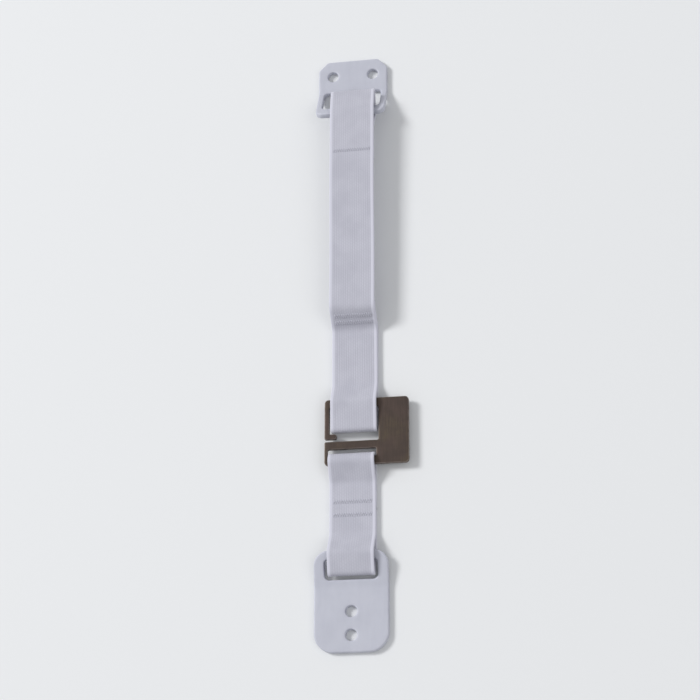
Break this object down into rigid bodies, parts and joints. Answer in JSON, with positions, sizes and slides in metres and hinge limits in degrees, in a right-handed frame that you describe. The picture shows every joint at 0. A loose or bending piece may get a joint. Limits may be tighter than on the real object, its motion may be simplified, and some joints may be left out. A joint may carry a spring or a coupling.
{
  "type": "furniture anti tip strap",
  "caption": "Webbing strap with a steel release buckle between a bent furniture bracket and a flat wall bracket, to keep furniture from tipping.",
  "frame": {"origin": "on the back of the wall bracket, midway between its two screw holes, which is also the level of the surface that the strap lies on", "axes": "+X across the strap towards the buckle's solid tab, +Y along the strap from the wall bracket to the furniture bracket, +Z out of the brackets' fronts"},
  "size_m": [0.0387, 0.2599, 0.0118],
  "materials": {
    "bracket_plastic": "satin moulded",
    "webbing": "woven tape",
    "thread": "sewing thread",
    "buckle_steel": "dark bronze, satin"
  },
  "bodies": {
    "wall_end": {"wall_bracket": "bracket_plastic"},
    "lower_strap": {"lower_webbing": "webbing", "lower_seam_wall_side": "thread", "lower_seam_buckle_side": "thread"},
    "buckle": {"buckle": "buckle_steel"},
    "upper_strap": {"upper_webbing": "webbing", "ridge_seam_lower": "thread", "ridge_seam_upper": "thread", "furniture_seam": "thread"},
    "furniture_end": {"furniture_bracket": "bracket_plastic"}
  },
  "joints": [
    {"name": "wall_bar_turn", "type": "hinge", "parent": "wall_end", "child": "lower_strap", "pos_m": [0, 0.02723, 0.00356], "axis": [1, 0, 0], "range_deg": [-120, 150]},
    {"name": "buckle_lower_bar_turn", "type": "hinge", "parent": "lower_strap", "child": "buckle", "pos_m": [0, 0.06573, 0.00332], "axis": [1, 0, 0], "range_deg": [-75, 75]},
    {"name": "buckle_upper_bar_turn", "type": "hinge", "parent": "buckle", "child": "upper_strap", "pos_m": [0, 0.09023, 0.00332], "axis": [1, 0, 0], "range_deg": [-75, 75]},
    {"name": "furniture_bar_turn", "type": "hinge", "parent": "upper_strap", "child": "furniture_end", "pos_m": [0, 0.22053, 0.0081], "axis": [1, 0, 0], "range_deg": [-140, 165]}
  ]
}
